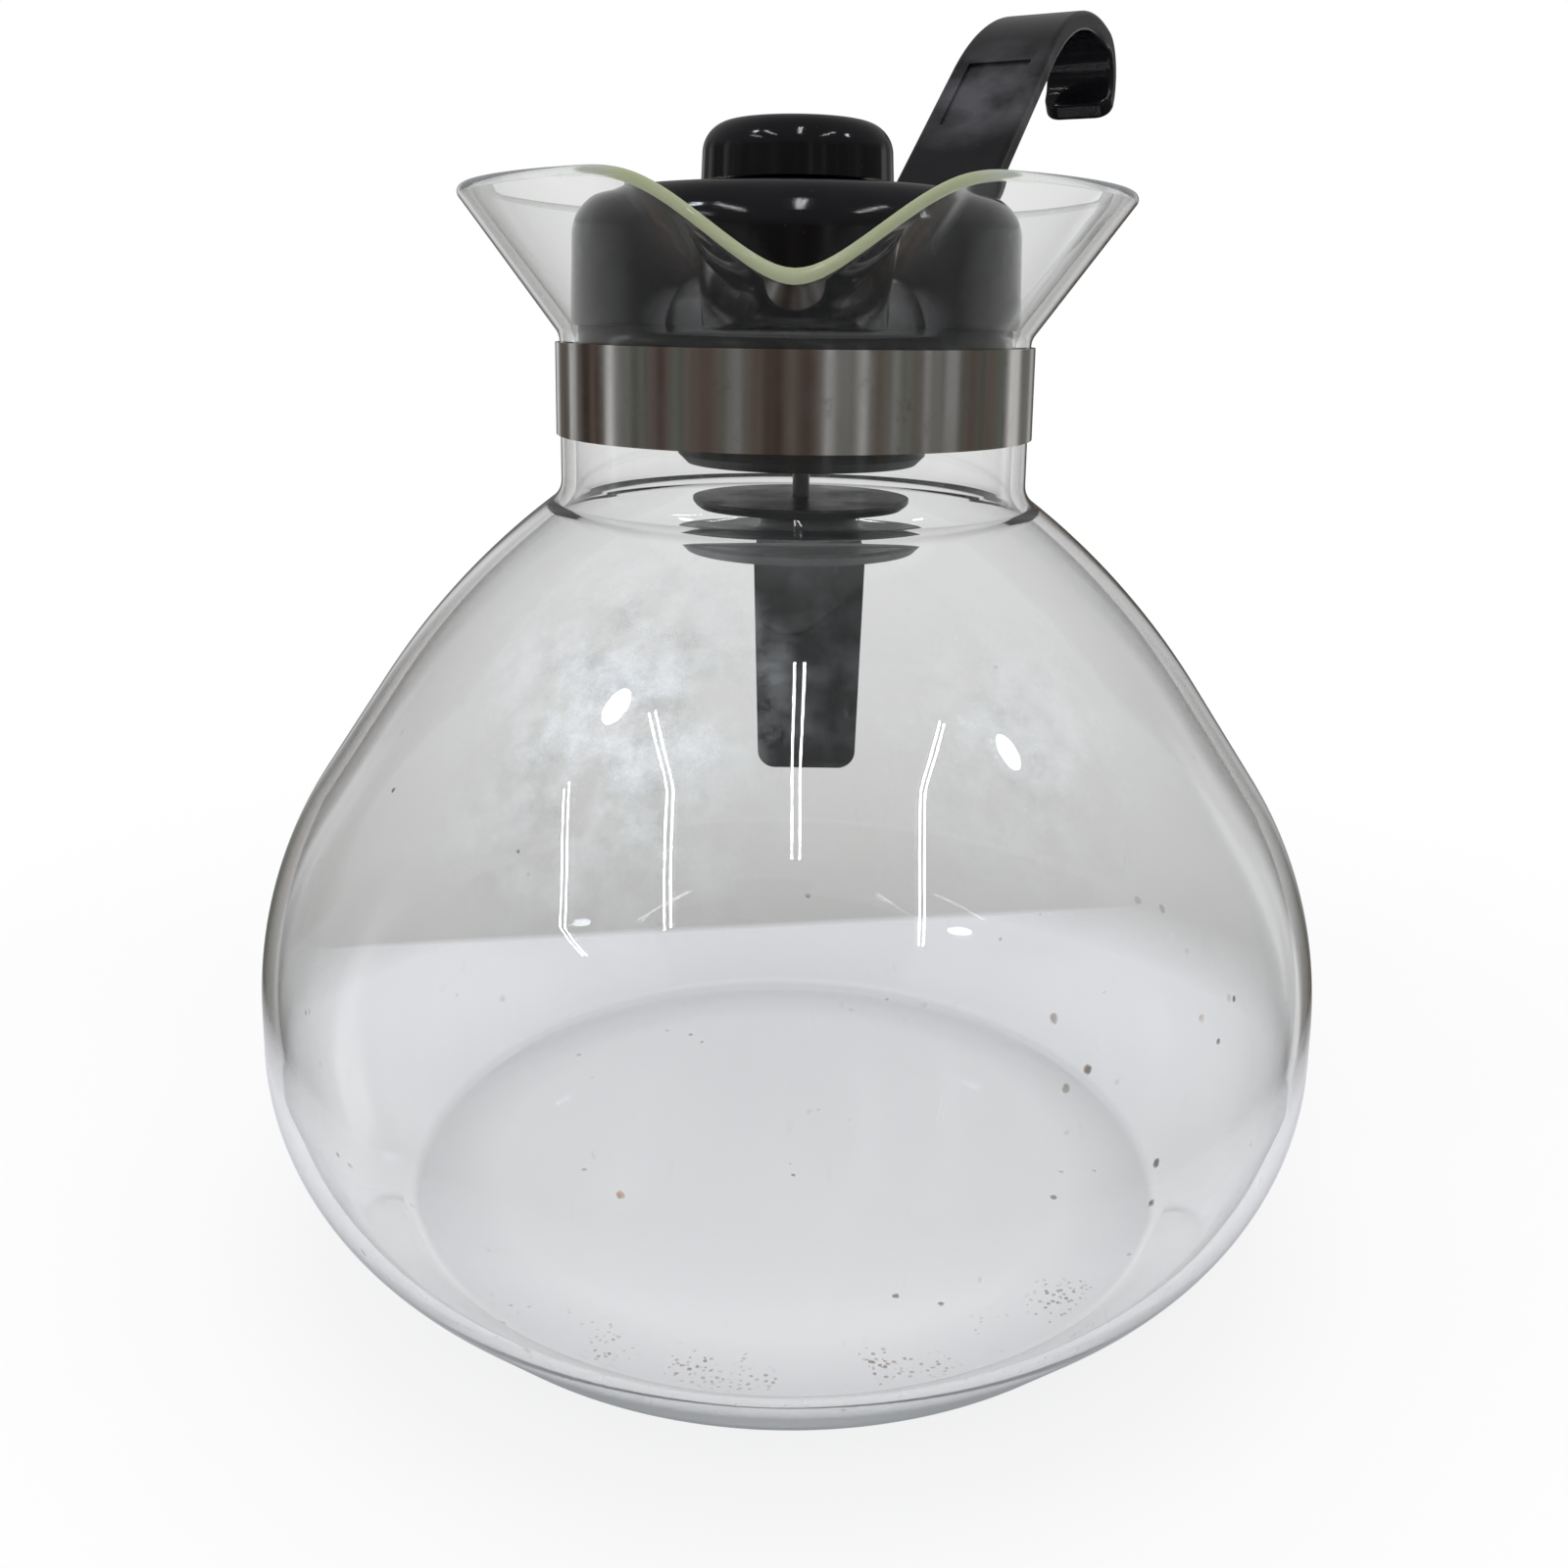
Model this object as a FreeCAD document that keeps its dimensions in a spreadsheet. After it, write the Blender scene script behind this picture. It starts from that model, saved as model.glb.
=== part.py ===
import FreeCAD, Part
import math
import os
import Sketcher

# Glass whistling kettle, in millimetres. The origin is the middle of the flat base, +Z is up,
# the pouring lip faces -Y, and the handle stands behind, turned towards +X.

# Driving dimensions: name, value, what it measures. Angles are in degrees.
DIMENSIONS = (
    ("belly_radius", 87.7, "glass: outside radius at the widest"),
    ("base_rounding", 8.0, "glass: rounding from the flat base into the heel"),
    ("heel_angle", 46.6, "glass: slope of the heel above level"),
    ("heel_length", 12.5, "glass: straight stretch of the heel"),
    ("corner_radius", 37.0, "glass: rounding from the heel up to the belly"),
    ("belly_rise", 6.3, "glass: upright stretch of the belly"),
    ("shoulder_radius", 60.0, "glass: arc from the belly into the flank"),
    ("flank_angle", 33.4, "glass: lean of the flank from upright"),
    ("flank_length", 18.8, "glass: straight stretch of the flank"),
    ("crown_radius", 120.0, "glass: arc from the flank in to the neck"),
    ("neck_fillet", 4.0, "glass: outside rounding where the neck starts"),
    ("neck_radius", 38.3, "glass: outside radius of the neck"),
    ("neck_top", 147.0, "glass: height where the flare starts"),
    ("wall", 2.4, "glass: wall of bulb and neck"),
    ("flare_bend", 3.0, "glass: outside bend from the neck into the flare"),
    ("flare_angle", 36.0, "glass: lean of the flare from upright"),
    ("flare_length", 24.9, "glass: straight length of the flare"),
    ("lip_thickness", 2.0, "glass: thickness of the rounded rim"),
    ("spout_angle", 78.4, "glass: lean of the flare at the middle of the pouring lip"),
    ("spout_half_span", 32.0, "glass: half the sweep round the rim that the lip takes up"),
    ("spout_softness", 0.14, "glass: how round the lip's lowest point is, as a share of its half sweep"),
    ("band_bottom", 132.2, "band: height of the lower edge"),
    ("band_height", 14.6, "band: width of the strap"),
    ("band_thickness", 0.6, "band: sheet thickness"),
    ("band_clearance", 0.1, "band: gap to the glass"),
    ("ear_length", 12.5, "band: how far the ears stand out from the strap"),
    ("handle_azimuth", 26.0, "handle: turn from straight behind the lip, towards +X"),
    ("handle_gap", 3.0, "handle: gap to the outside of the flare"),
    ("handle_over_rim", 5.2, "handle: straight stretch past the rim"),
    ("strap_gap", 1.0, "handle: gap between the strap and the band's upper edge"),
    ("gusset_length", 15.0, "handle: how far the foot runs up behind the strap"),
    ("strap_width", 21.2, "handle: width of the strap"),
    ("strap_thickness", 4.5, "handle: thickness of the strap"),
    ("strap_pitch", 40.5, "handle: slope of the grip above level"),
    ("strap_run", 48.0, "handle: straight length of the grip"),
    ("knee_radius", 24.0, "handle: upper bend from the foot into the grip"),
    ("crest_radius", 68.7, "handle: upper bend over the crest"),
    ("crest_fall", 11.0, "handle: slope below level where the crest turns into the curl"),
    ("curl_radius", 11.4, "handle: upper bend of the curl"),
    ("curl_end", 145.0, "handle: slope below level at the tip of the curl"),
    ("tip_width", 17.0, "handle: width at the end of the curl"),
    ("tip_rounding", 4.0, "handle: rounded corners of the tip"),
    ("edge_rounding", 1.1, "handle: rounding along the strap's edges"),
    ("panel_width", 14.0, "handle: width of the sunk thumb panel"),
    ("panel_length", 23.0, "handle: length of the sunk thumb panel"),
    ("panel_depth", 0.6, "handle: depth of the sunk thumb panel"),
    ("tongue_width", 10.0, "handle: thickness of the foot between the ears"),
    ("seat_clearance", 0.3, "fits: gap between pieces that seat on each other"),
    ("pin_clearance", 0.1, "fits: gap round screws and pins"),
    ("clamp_shank", 2.0, "clamp: radius of the screw"),
    ("clamp_head", 3.8, "clamp: radius of the screw head"),
    ("clamp_head_height", 2.4, "clamp: height of the screw head"),
    ("nut_flats", 7.0, "clamp: width across the nut's flats"),
    ("nut_height", 3.2, "clamp: thickness of the nut"),
    ("screw_overrun", 1.2, "clamp: screw end past the nut"),
    ("clamp_inset", 5.0, "clamp: screw axis in from the ends of the ears"),
    ("cap_overhang", 0.6, "lid: how far the cap's skirt overhangs the neck's bore"),
    ("cap_draft", 1.5, "lid: lean of the skirt from upright"),
    ("cap_side", 13.6, "lid: height of the straight skirt"),
    ("cap_rounding", 7.0, "lid: outside rounding between skirt and dome"),
    ("dome_slope", 5.0, "lid: slope of the dome where the rounding ends"),
    ("lid_wall", 2.2, "lid: wall of the mouldings"),
    ("vent_radius", 1.5, "lid: radius of the steam holes under the knob"),
    ("vent_circle", 9.5, "lid: radius of the circle the steam holes stand on"),
    ("vent_count", 6, "lid: number of steam holes"),
    ("knob_radius", 15.5, "knob: radius at its lower edge"),
    ("knob_height", 9.6, "knob: height of the body"),
    ("knob_rounding", 5.0, "knob: rounding of the upper edge"),
    ("knob_draft", 2.5, "knob: lean of its side from upright"),
    ("knob_gap", 0.6, "knob: steam gap between knob and dome"),
    ("knob_boss", 5.0, "knob: radius of the boss that takes the screw"),
    ("knob_shank", 1.8, "knob: radius of the screw"),
    ("knob_screw_length", 9.0, "knob: length of the screw under its head"),
    ("knob_head", 3.6, "knob: radius of the screw head"),
    ("knob_head_height", 2.2, "knob: height of the screw head"),
    ("plug_clearance", 0.6, "lid base: gap between plug skirt and neck"),
    ("plug_depth", 9.0, "lid base: how far the plug skirt reaches down the neck"),
    ("spigot_height", 3.0, "lid base: spigot up inside the cap"),
    ("hub_offset", 1.3, "lid base: hub off the lid's axis, towards +X"),
    ("hub_radius", 20.5, "lid base: outside radius of the whistle hub"),
    ("hub_bottom", 127.5, "lid base: height of the hub's lower edge"),
    ("hub_bevel", 1.5, "lid base: bevel round the hub's lower edge"),
    ("steam_hole", 14.0, "lid base: radius of the hole over the whistle"),
    ("spider_count", 3, "lid base: arms across the hub's mouth"),
    ("spider_height", 3.0, "lid base: height of the arms"),
    ("spider_width", 2.4, "lid base: width of an arm"),
    ("spider_rise", 1.0, "lid base: arms above the hub's lower edge"),
    ("spider_boss", 4.0, "lid base: radius of the boss for the pin"),
    ("sheet", 0.5, "whistle: thickness of the plates"),
    ("whistle_hole", 2.2, "whistle: radius of the hole in each plate"),
    ("whistle_depth", 4.0, "whistle: depth of the cup"),
    ("whistle_flange", 3.0, "whistle: width of the cup's rim"),
    ("whistle_slope", 2.0, "whistle: run of the cup's side"),
    ("pin_radius", 1.4, "pin: radius"),
    ("pin_depth", 5.0, "pin: how far it stands in the stem"),
    ("pin_head_radius", 2.4, "pin: radius of the head"),
    ("pin_head_height", 1.0, "pin: height of the head"),
    ("splash_radius", 18.0, "stem: radius of the splash disc"),
    ("splash_top", 121.7, "stem: height of the splash disc's upper face"),
    ("disc_thickness", 2.0, "stem: thickness of both discs"),
    ("column_height", 4.9, "stem: height of the column between the discs"),
    ("column_radius", 8.3, "stem: radius of the column"),
    ("column_fillet", 2.0, "stem: rounding between column and discs"),
    ("lower_disc_radius", 20.5, "stem: radius of the lower disc"),
    ("disc_bevel", 1.4, "stem: bevel under both discs"),
    ("stem_offset", 1.6, "stem: column and blade off the discs' axis, towards +X"),
    ("stem_length", 38.0, "stem: blade below the lower disc"),
    ("stem_top_width", 18.7, "stem: width of the blade at the disc"),
    ("stem_tip_width", 16.5, "stem: width of the blade at its tip"),
    ("stem_thickness", 3.0, "stem: thickness of the blade"),
    ("stem_rounding", 3.0, "stem: rounded corners of the blade"),
    ("rib_width", 8.2, "stem: width of the rib down the blade"),
    ("rib_depth", 6.4, "stem: depth of the rib, front to back"),
)

doc = FreeCAD.newDocument("whistling_kettle")
dims = doc.addObject("Spreadsheet::Sheet", "dims")
for row, (alias, value, note) in enumerate(DIMENSIONS, start=1):
    dims.set(f"A{row}", note)
    dims.set(f"B{row}", str(value))
    dims.setAlias(f"B{row}", alias)
doc.recompute()


class Size:
    """A size as a number, with the sheet expression that gives it."""

    def __init__(self, value, text):
        self.value = value
        self.text = text

    def __add__(self, other):
        other = as_size(other)
        return Size(self.value + other.value, f"({self.text} + {other.text})")

    def __sub__(self, other):
        other = as_size(other)
        return Size(self.value - other.value, f"({self.text} - {other.text})")

    def __mul__(self, other):
        other = as_size(other)
        return Size(self.value * other.value, f"({self.text} * {other.text})")

    def __truediv__(self, other):
        other = as_size(other)
        return Size(self.value / other.value, f"({self.text} / {other.text})")

    def __neg__(self):
        return Size(-self.value, f"(0 - {self.text})")


def as_size(number):
    if isinstance(number, Size):
        return number
    return Size(float(number), repr(float(number)))


def size(alias):
    return Size(float(getattr(dims, alias)), f"dims.{alias}")


def sin(angle):
    return Size(math.sin(math.radians(angle.value)), f"sin({angle.text})")


def cos(angle):
    return Size(math.cos(math.radians(angle.value)), f"cos({angle.text})")


def tan(angle):
    return Size(math.tan(math.radians(angle.value)), f"tan({angle.text})")


def root(square):
    return Size(math.sqrt(square.value), f"sqrt({square.text})")


NOTHING = as_size(0)
ONE = as_size(1)
QUARTER = as_size(90)
HALF_TURN = as_size(180)
FULL_TURN = as_size(360)
UP = FreeCAD.Vector(0, 0, 1)

# Lengths nearer to each other than this count as equal when faces and edges are looked up
NEAR = 0.01
# A direction counts as lying along an axis when its share along it is at least this
ALONG = 0.9
# Edge of an outline that leads back to its start: no step of its own, straight
CLOSING_EDGE = (None, None, None, True)


class Outline:
    """A closed sketch outline drawn edge by edge, each step bound to its sizes."""

    def __init__(self, sketch, x, y):
        self.sketch = sketch
        self.corners = [(x, y)]
        self.edges = []

    def step(self, dx, dy, radius=None, left=True):
        x, y = self.corners[-1]
        self.corners.append((x + dx, y + dy))
        self.edges.append((dx, dy, radius, left))
        return self

    def reach(self, x, y, radius=None, left=True):
        last_x, last_y = self.corners[-1]
        return self.step(x - last_x, y - last_y, radius, left)

    def forward(self, length, heading):
        return self.step(length * cos(heading), length * sin(heading))

    def bend_left(self, radius, start, end):
        dx = radius * (sin(end) - sin(start))
        dy = radius * (cos(start) - cos(end))
        return self.step(dx, dy, radius, True)

    def bend_right(self, radius, start, end):
        dx = radius * (sin(start) - sin(end))
        dy = radius * (cos(end) - cos(start))
        return self.step(dx, dy, radius, False)

    def curves(self):
        """Lines and arcs of the outline, with a last one back to the start if it isn't there yet."""
        points = [FreeCAD.Vector(x.value, y.value, 0) for x, y in self.corners]
        if points[-1].isEqual(points[0], NEAR):
            points[-1] = points[0]
        else:
            points.append(points[0])
        curves = []
        for start, end, (_, _, radius, left) in zip(points, points[1:], self.edges + [CLOSING_EDGE]):
            if radius is None:
                curves.append(Part.LineSegment(start, end))
            else:
                curves.append(arc_between(start, end, radius.value, left))
        return curves

    def close(self):
        """Draw the edges, and tie each corner to the one before it."""
        sketch = self.sketch
        curves = self.curves()
        offset = sketch.GeometryCount
        for curve in curves:
            sketch.addGeometry(curve, False)
        count = len(curves)
        edges = (self.edges + [CLOSING_EDGE])[:count]
        ends = [(offset + index, 1, 2) if edge[2] is None or edge[3] else (offset + index, 2, 1)
                for index, edge in enumerate(edges)]
        for index in range(count):
            first, _, tail = ends[index]
            second, head, _ = ends[(index + 1) % count]
            sketch.addConstraint(Sketcher.Constraint("Coincident", first, tail, second, head))
        first, head, _ = ends[0]
        self.tie(-1, 1, first, head, *self.corners[0])
        for index, (dx, dy, radius, _) in enumerate(edges):
            edge, head, tail = ends[index]
            if index < count - 1:
                self.tie(edge, head, edge, tail, dx, dy)
            if radius is not None:
                self.bind(Sketcher.Constraint("Radius", edge, radius.value), radius)
        return sketch

    def tie(self, edge, point, other, other_point, dx, dy):
        self.bind(Sketcher.Constraint("DistanceX", edge, point, other, other_point, dx.value), dx)
        self.bind(Sketcher.Constraint("DistanceY", edge, point, other, other_point, dy.value), dy)

    def bind(self, constraint, amount):
        index = self.sketch.addConstraint(constraint)
        if "dims." in amount.text:
            self.sketch.setExpression(f"Constraints[{index}]", amount.text)


def arc_between(start, end, radius, left):
    """The short arc of the given radius, drawn anticlockwise as sketches want it."""
    chord = end - start
    half = chord.Length / 2
    rise = math.sqrt(max(radius * radius - half * half, 0))
    normal = FreeCAD.Vector(-chord.y, chord.x, 0).normalize()
    centre = (start + end) * 0.5 + normal * (rise if left else -rise)
    first, last = (start, end) if left else (end, start)
    circle = Part.Circle(centre, UP, radius)
    begin = math.atan2(first.y - centre.y, first.x - centre.x)
    finish = math.atan2(last.y - centre.y, last.x - centre.x)
    return Part.ArcOfCircle(circle, begin, finish)


def new_body(label):
    return doc.addObject("PartDesign::Body", label)


def sketch_on(body, name, role, height=None, shift=None):
    """A sketch on one of the body's own origin planes, raised and shifted by sizes if they are given."""
    sketch = body.newObject("Sketcher::SketchObject", name)
    plane = [feature for feature in body.Origin.OriginFeatures if feature.Role == role][0]
    sketch.AttachmentSupport = [(plane, "")]
    sketch.MapMode = "FlatFace"
    x, y = shift or (NOTHING, NOTHING)
    for letter, amount in zip("xyz", (x, y, height or NOTHING)):
        if amount is not NOTHING:
            sketch.setExpression(f"AttachmentOffset.Base.{letter}", amount.text)
    return sketch


def add_circle(sketch, x, y, radius):
    centre = FreeCAD.Vector(x.value, y.value, 0)
    edge = sketch.addGeometry(Part.Circle(centre, UP, radius.value), False)
    outline = Outline(sketch, x, y)
    outline.tie(-1, 1, edge, 3, x, y)
    outline.bind(Sketcher.Constraint("Radius", edge, radius.value), radius)
    return sketch


def revolve(body, name, sketch, angle=None, cut=False):
    """Turn a sketch about its upright axis."""
    kind = "PartDesign::Groove" if cut else "PartDesign::Revolution"
    feature = body.newObject(kind, name)
    feature.Profile = sketch
    feature.ReferenceAxis = (sketch, ["V_Axis"])
    feature.Angle = FULL_TURN.value
    if angle is not None:
        feature.Angle = angle.value
        feature.setExpression("Angle", angle.text)
        feature.Midplane = True
    return feature


def extrude(body, name, sketch, length, cut=False, midplane=False, reverse=False):
    """Pad or pocket a sketch by a bound length."""
    kind = "PartDesign::Pocket" if cut else "PartDesign::Pad"
    feature = body.newObject(kind, name)
    feature.Profile = sketch
    feature.Length = length.value
    feature.setExpression("Length", length.text)
    feature.Midplane = midplane
    feature.Reversed = reverse
    return feature


def dress_edges(body, kind, name, setting, amount, chosen):
    """Give a fillet or chamfer to the edges of the body's last feature that the test picks."""
    doc.recompute()
    base = body.Tip
    names = [f"Edge{number}" for number, edge in enumerate(base.Shape.Edges, start=1) if chosen(edge)]
    feature = body.newObject(kind, name)
    feature.Base = (base, names)
    setattr(feature, setting, amount.value)
    feature.setExpression(setting, amount.text)
    return feature


def round_edges(body, name, radius, chosen):
    return dress_edges(body, "PartDesign::Fillet", name, "Radius", radius, chosen)


def bevel_edges(body, name, width, chosen):
    return dress_edges(body, "PartDesign::Chamfer", name, "Size", width, chosen)


def repeat_round(body, name, feature, sketch, count):
    """Repeat a feature round the axis through its sketch's origin."""
    pattern = body.newObject("PartDesign::PolarPattern", name)
    pattern.Originals = [feature]
    pattern.Axis = (sketch, ["N_Axis"])
    pattern.Angle = FULL_TURN.value
    pattern.Occurrences = int(count.value)
    pattern.setExpression("Occurrences", count.text)
    body.Tip = pattern
    return pattern


def place(body, x, y, z):
    """Put a body at sizes from the sheet."""
    for letter, amount in zip("xyz", (x, y, z)):
        if amount is not NOTHING:
            body.setExpression(f"Placement.Base.{letter}", amount.text)


def turn_to_handle(body):
    """Turn a body drawn along +X round to the handle's side of the kettle."""
    turn = QUARTER - size("handle_azimuth")
    body.Placement.Rotation = FreeCAD.Rotation(UP, turn.value)
    body.setExpression("Placement.Rotation.Angle", turn.text)


def is_straight(edge):
    return edge.Curve.TypeId == "Part::GeomLine"


def is_circle(edge, radius):
    return edge.Curve.TypeId == "Part::GeomCircle" and abs(edge.Curve.Radius - radius) < NEAR


def lower_edge(edge, radius, height):
    """Whether an edge is the circle of a given radius at a given height."""
    return is_circle(edge, radius.value) and abs(edge.CenterOfMass.z - height.value) < NEAR


def tip_edge(edge, beyond, length):
    """Whether an edge is one of the short corners across the end of the strap."""
    return is_straight(edge) and edge.CenterOfMass.x > beyond and abs(edge.Length - length) < NEAR


def side_edges(body):
    """A test for the edges that run round the two sides of the strap."""
    doc.recompute()
    seen = {}
    for face in body.Tip.Shape.Faces:
        normal = face.normalAt(*face.Surface.parameter(face.CenterOfMass))
        if abs(normal.y) > ALONG and face.Surface.TypeId == "Part::GeomPlane":
            for edge in face.Edges:
                seen[edge.hashCode()] = seen.get(edge.hashCode(), 0) + 1
    return lambda edge: seen.get(edge.hashCode(), 0) == 1


class Sizes:
    """Every size in the sheet, by its name."""

    def __getattr__(self, alias):
        return size(alias)


s = Sizes()

# Length of a cut that goes right through whatever it meets
THROUGH = as_size(1000)

# Heights and radii that several pieces share
band_inside = s.neck_radius + s.band_clearance
band_outside = band_inside + s.band_thickness
band_top = s.band_bottom + s.band_height
band_middle = s.band_bottom + s.band_height / 2
ear_inside = s.tongue_width / 2 + s.pin_clearance
ear_outside = ear_inside + s.band_thickness
ear_end = band_outside + s.ear_length
clamp_axis = ear_end - s.clamp_inset
inner_bend = s.flare_bend + s.wall
flare_start_x = s.neck_radius + s.flare_bend * (ONE - cos(s.flare_angle))
flare_start_z = s.neck_top + s.flare_bend * sin(s.flare_angle)
funnel_x = s.neck_radius + s.flare_bend - inner_bend * cos(s.flare_angle)
funnel_z = s.neck_top + inner_bend * sin(s.flare_angle)
neck_bore = s.neck_radius - s.wall
cap_radius = neck_bore + s.cap_overhang
cap_reach = cap_radius + s.seat_clearance / cos(s.flare_angle) - funnel_x
cap_bottom = funnel_z + cap_reach / tan(s.flare_angle)
plate_underside = cap_bottom - s.lid_wall
whistle_radius = s.hub_radius - s.lid_wall - s.seat_clearance
spider_bottom = s.hub_bottom + s.spider_rise
spider_top = spider_bottom + s.spider_height
lower_disc_bottom = s.splash_top - s.disc_thickness * 2 - s.column_height


# Glass bulb and neck: a solid of revolution, hollowed by the same outline inset by the wall
vessel = new_body("vessel")
sin_flank = sin(s.flank_angle)
cos_flank = cos(s.flank_angle)
flank_end = s.belly_radius - s.shoulder_radius * (ONE - cos_flank) - s.flank_length * sin_flank
crown_reach = s.neck_radius - flank_end + s.crown_radius * cos_flank + s.neck_fillet
cos_crown = crown_reach / (s.crown_radius + s.neck_fillet)
sin_crown = root(ONE - cos_crown * cos_crown)
flank_heading = QUARTER + s.flank_angle
heel_reach = s.base_rounding * sin(s.heel_angle) + s.heel_length * cos(s.heel_angle)
base_radius = s.belly_radius - s.corner_radius * (ONE - sin(s.heel_angle)) - heel_reach


def bulb_profile(name, inset):
    """Half outline of the bulb and neck, from the flat base to the neck's top, inset by a wall."""
    crown = s.crown_radius - inset
    fillet = s.neck_fillet + inset
    profile = Outline(sketch_on(vessel, name, "XZ_Plane"), NOTHING, inset)
    profile.step(base_radius, NOTHING)
    profile.bend_left(s.base_rounding - inset, NOTHING, s.heel_angle)
    profile.forward(s.heel_length, s.heel_angle)
    profile.bend_left(s.corner_radius - inset, s.heel_angle, QUARTER)
    profile.step(NOTHING, s.belly_rise)
    profile.bend_left(s.shoulder_radius - inset, QUARTER, flank_heading)
    profile.forward(s.flank_length, flank_heading)
    profile.step(crown * (cos_crown - cos_flank), crown * (sin_crown - sin_flank), crown)
    profile.step(fillet * (cos_crown - ONE), fillet * sin_crown, fillet, left=False)
    profile.reach(s.neck_radius - inset, s.neck_top)
    profile.reach(NOTHING, s.neck_top)
    return profile.close()


revolve(vessel, "bulb", bulb_profile("bulb_outside", NOTHING))
revolve(vessel, "bulb_hollow", bulb_profile("bulb_inside", s.wall), cut=True)


def flare_section(sketch, lean):
    """Section of the flare's wall at a given lean, from the neck's top round the rim and back."""
    half_lip = s.lip_thickness / 2
    heading = QUARTER - lean
    section = Outline(sketch, s.neck_radius - s.wall, s.neck_top)
    section.step(s.wall, NOTHING)
    section.bend_right(s.flare_bend, QUARTER, heading)
    section.forward(s.flare_length, heading)
    section.bend_left(half_lip, heading, heading + QUARTER)
    section.bend_left(half_lip, heading + QUARTER, heading + HALF_TURN)
    bend_axis = s.neck_radius + s.flare_bend
    section.reach(bend_axis - inner_bend * cos(lean), s.neck_top + inner_bend * sin(lean))
    return section.step(inner_bend * (cos(lean) - ONE), -(inner_bend * sin(lean)), inner_bend)


# Plain flare: the same wall swept all round except where the lip is pressed out
flare = flare_section(sketch_on(vessel, "flare_section", "YZ_Plane"), s.flare_angle)
revolve(vessel, "flare", flare.close(), FULL_TURN - s.spout_half_span * 2)


def spout_section(turn):
    """Wire of the flare's wall at a turn from the middle of the lip, leaning out most at the middle."""
    soft = s.spout_softness.value
    share = (math.hypot(turn / s.spout_half_span.value, soft) - soft) / (math.hypot(1, soft) - soft)
    press = 1 - math.sin(math.radians(QUARTER.value * share))
    lean = s.flare_angle.value + (s.spout_angle.value - s.flare_angle.value) * press
    section = flare_section(None, as_size(lean))
    wire = Part.Wire([curve.toShape() for curve in section.curves()])
    across = FreeCAD.Vector(math.sin(math.radians(turn)), -math.cos(math.radians(turn)), 0)
    facing = FreeCAD.Rotation(across, UP, across.cross(UP), "XYZ")
    wire.Placement = FreeCAD.Placement(FreeCAD.Vector(), facing)
    return wire


# Pouring lip: a loft through sections of the wall, from one end of the plain flare to the other
LIP_SECTIONS = 17
turns = [s.spout_half_span.value * (2 * step / (LIP_SECTIONS - 1) - 1) for step in range(LIP_SECTIONS)]
lip = doc.addObject("Part::Feature", "pouring_lip")
lip.Shape = Part.makeLoft([spout_section(turn) for turn in turns], True, False)

# The lip's lower edge is a curve through the neck's rim, so the two are joined within a small tolerance
JOIN_TOLERANCE = 0.005
doc.recompute()
glass_body = doc.addObject("Part::Feature", "glass_body")
glass_body.Shape = vessel.Shape.fuse(lip.Shape, JOIN_TOLERANCE)


# Neck band: an open ring of sheet with its two ends turned out as ears
neck_band = new_body("neck_band")
ring_x = root(band_outside * band_outside - ear_outside * ear_outside)
bore_x = root(band_inside * band_inside - ear_inside * ear_inside)
strip = Outline(sketch_on(neck_band, "strip", "XY_Plane", s.band_bottom), ear_end, ear_outside)
strip.reach(ring_x, ear_outside)
strip.reach(-band_outside, NOTHING, band_outside)
strip.reach(ring_x, -ear_outside, band_outside)
strip.reach(ear_end, -ear_outside)
strip.reach(ear_end, -ear_inside)
strip.reach(bore_x, -ear_inside)
strip.reach(-band_inside, NOTHING, band_inside, left=False)
strip.reach(bore_x, ear_inside, band_inside, left=False)
strip.reach(ear_end, ear_inside)
extrude(neck_band, "ring", strip.close(), s.band_height)
ear_hole = sketch_on(neck_band, "ear_hole", "XZ_Plane")
add_circle(ear_hole, clamp_axis, band_middle, s.clamp_shank + s.pin_clearance)
extrude(neck_band, "ear_holes", ear_hole, THROUGH, cut=True, midplane=True)
turn_to_handle(neck_band)


# Handle: a strap that follows the flare, leans out into the grip and curls over at the end
handle = new_body("handle")
rise = QUARTER - s.flare_angle
strap_bottom = band_top + s.strap_gap
drop = flare_start_z - s.handle_gap * sin(s.flare_angle) - strap_bottom
strap_x = flare_start_x + s.handle_gap * cos(s.flare_angle) - drop * tan(s.flare_angle)
front_length = s.flare_length + s.handle_over_rim + drop / cos(s.flare_angle)
back_length = front_length - s.strap_thickness * tan(s.flare_angle)
fall = -s.crest_fall
strap = Outline(sketch_on(handle, "strap_side", "XZ_Plane"), strap_x, strap_bottom)
strap.forward(front_length, rise)
strap.bend_right(s.knee_radius, rise, s.strap_pitch)
grip_start = strap.corners[-1]
strap.forward(s.strap_run, s.strap_pitch)
crest_start = strap.corners[-1]
strap.bend_right(s.crest_radius, s.strap_pitch, fall)
curl_start = strap.corners[-1]
strap.bend_right(s.curl_radius, fall, -s.curl_end)
strap.forward(s.strap_thickness, -s.curl_end - QUARTER)
strap.bend_left(s.curl_radius - s.strap_thickness, HALF_TURN - s.curl_end, HALF_TURN - s.crest_fall)
strap.bend_left(s.crest_radius - s.strap_thickness, HALF_TURN - s.crest_fall, HALF_TURN + s.strap_pitch)
strap.forward(s.strap_run, HALF_TURN + s.strap_pitch)
strap.bend_left(s.knee_radius - s.strap_thickness, HALF_TURN + s.strap_pitch, HALF_TURN + rise)
strap.forward(back_length, HALF_TURN + rise)
extrude(handle, "strap", strap.close(), s.strap_width, midplane=True)
half_strap = s.strap_width / 2
half_tip = s.tip_width / 2
curl_reach = curl_start[0] + s.curl_radius
taper = sketch_on(handle, "taper", "XY_Plane")
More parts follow.
